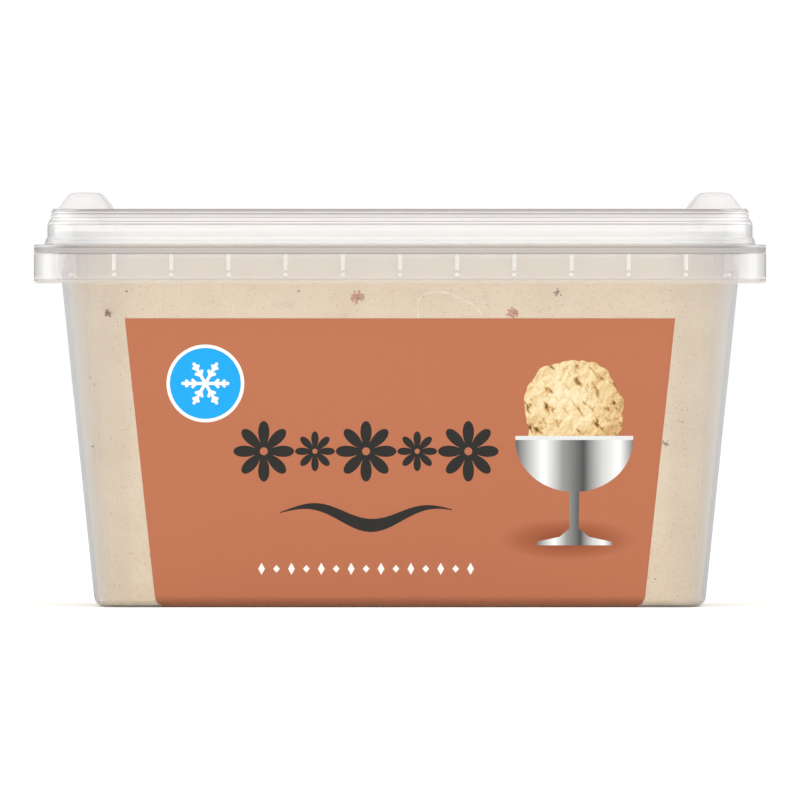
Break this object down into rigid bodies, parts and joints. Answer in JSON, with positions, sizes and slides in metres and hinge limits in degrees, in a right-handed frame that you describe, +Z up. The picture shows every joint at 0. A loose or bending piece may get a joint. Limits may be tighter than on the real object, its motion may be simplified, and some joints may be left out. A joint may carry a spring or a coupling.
{
  "type": "ice cream tub",
  "caption": "Shut rectangular clear plastic tub of ice cream with a ribbed rim skirt, a clip-on lid with stacking lugs and a plain wrap-round label.",
  "frame": {"origin": "on the resting plane, under the middle of the tub's footprint", "axes": "+X along the long side, +Y from the front towards the back, +Z up"},
  "size_m": [0.162, 0.108, 0.0917],
  "materials": {
    "tub": "clear injection-moulded polypropylene, slightly milky, smooth",
    "lid": "clear injection-moulded polypropylene, glossy",
    "label": "in-mould label film, terracotta, satin",
    "ice_cream": "pale beige frozen ice cream with fine brown cinnamon specks"
  },
  "bodies": {
    "root": {"tub": "tub", "lid": "lid", "label": "label", "ice_cream": "ice_cream"}
  },
  "joints": []
}
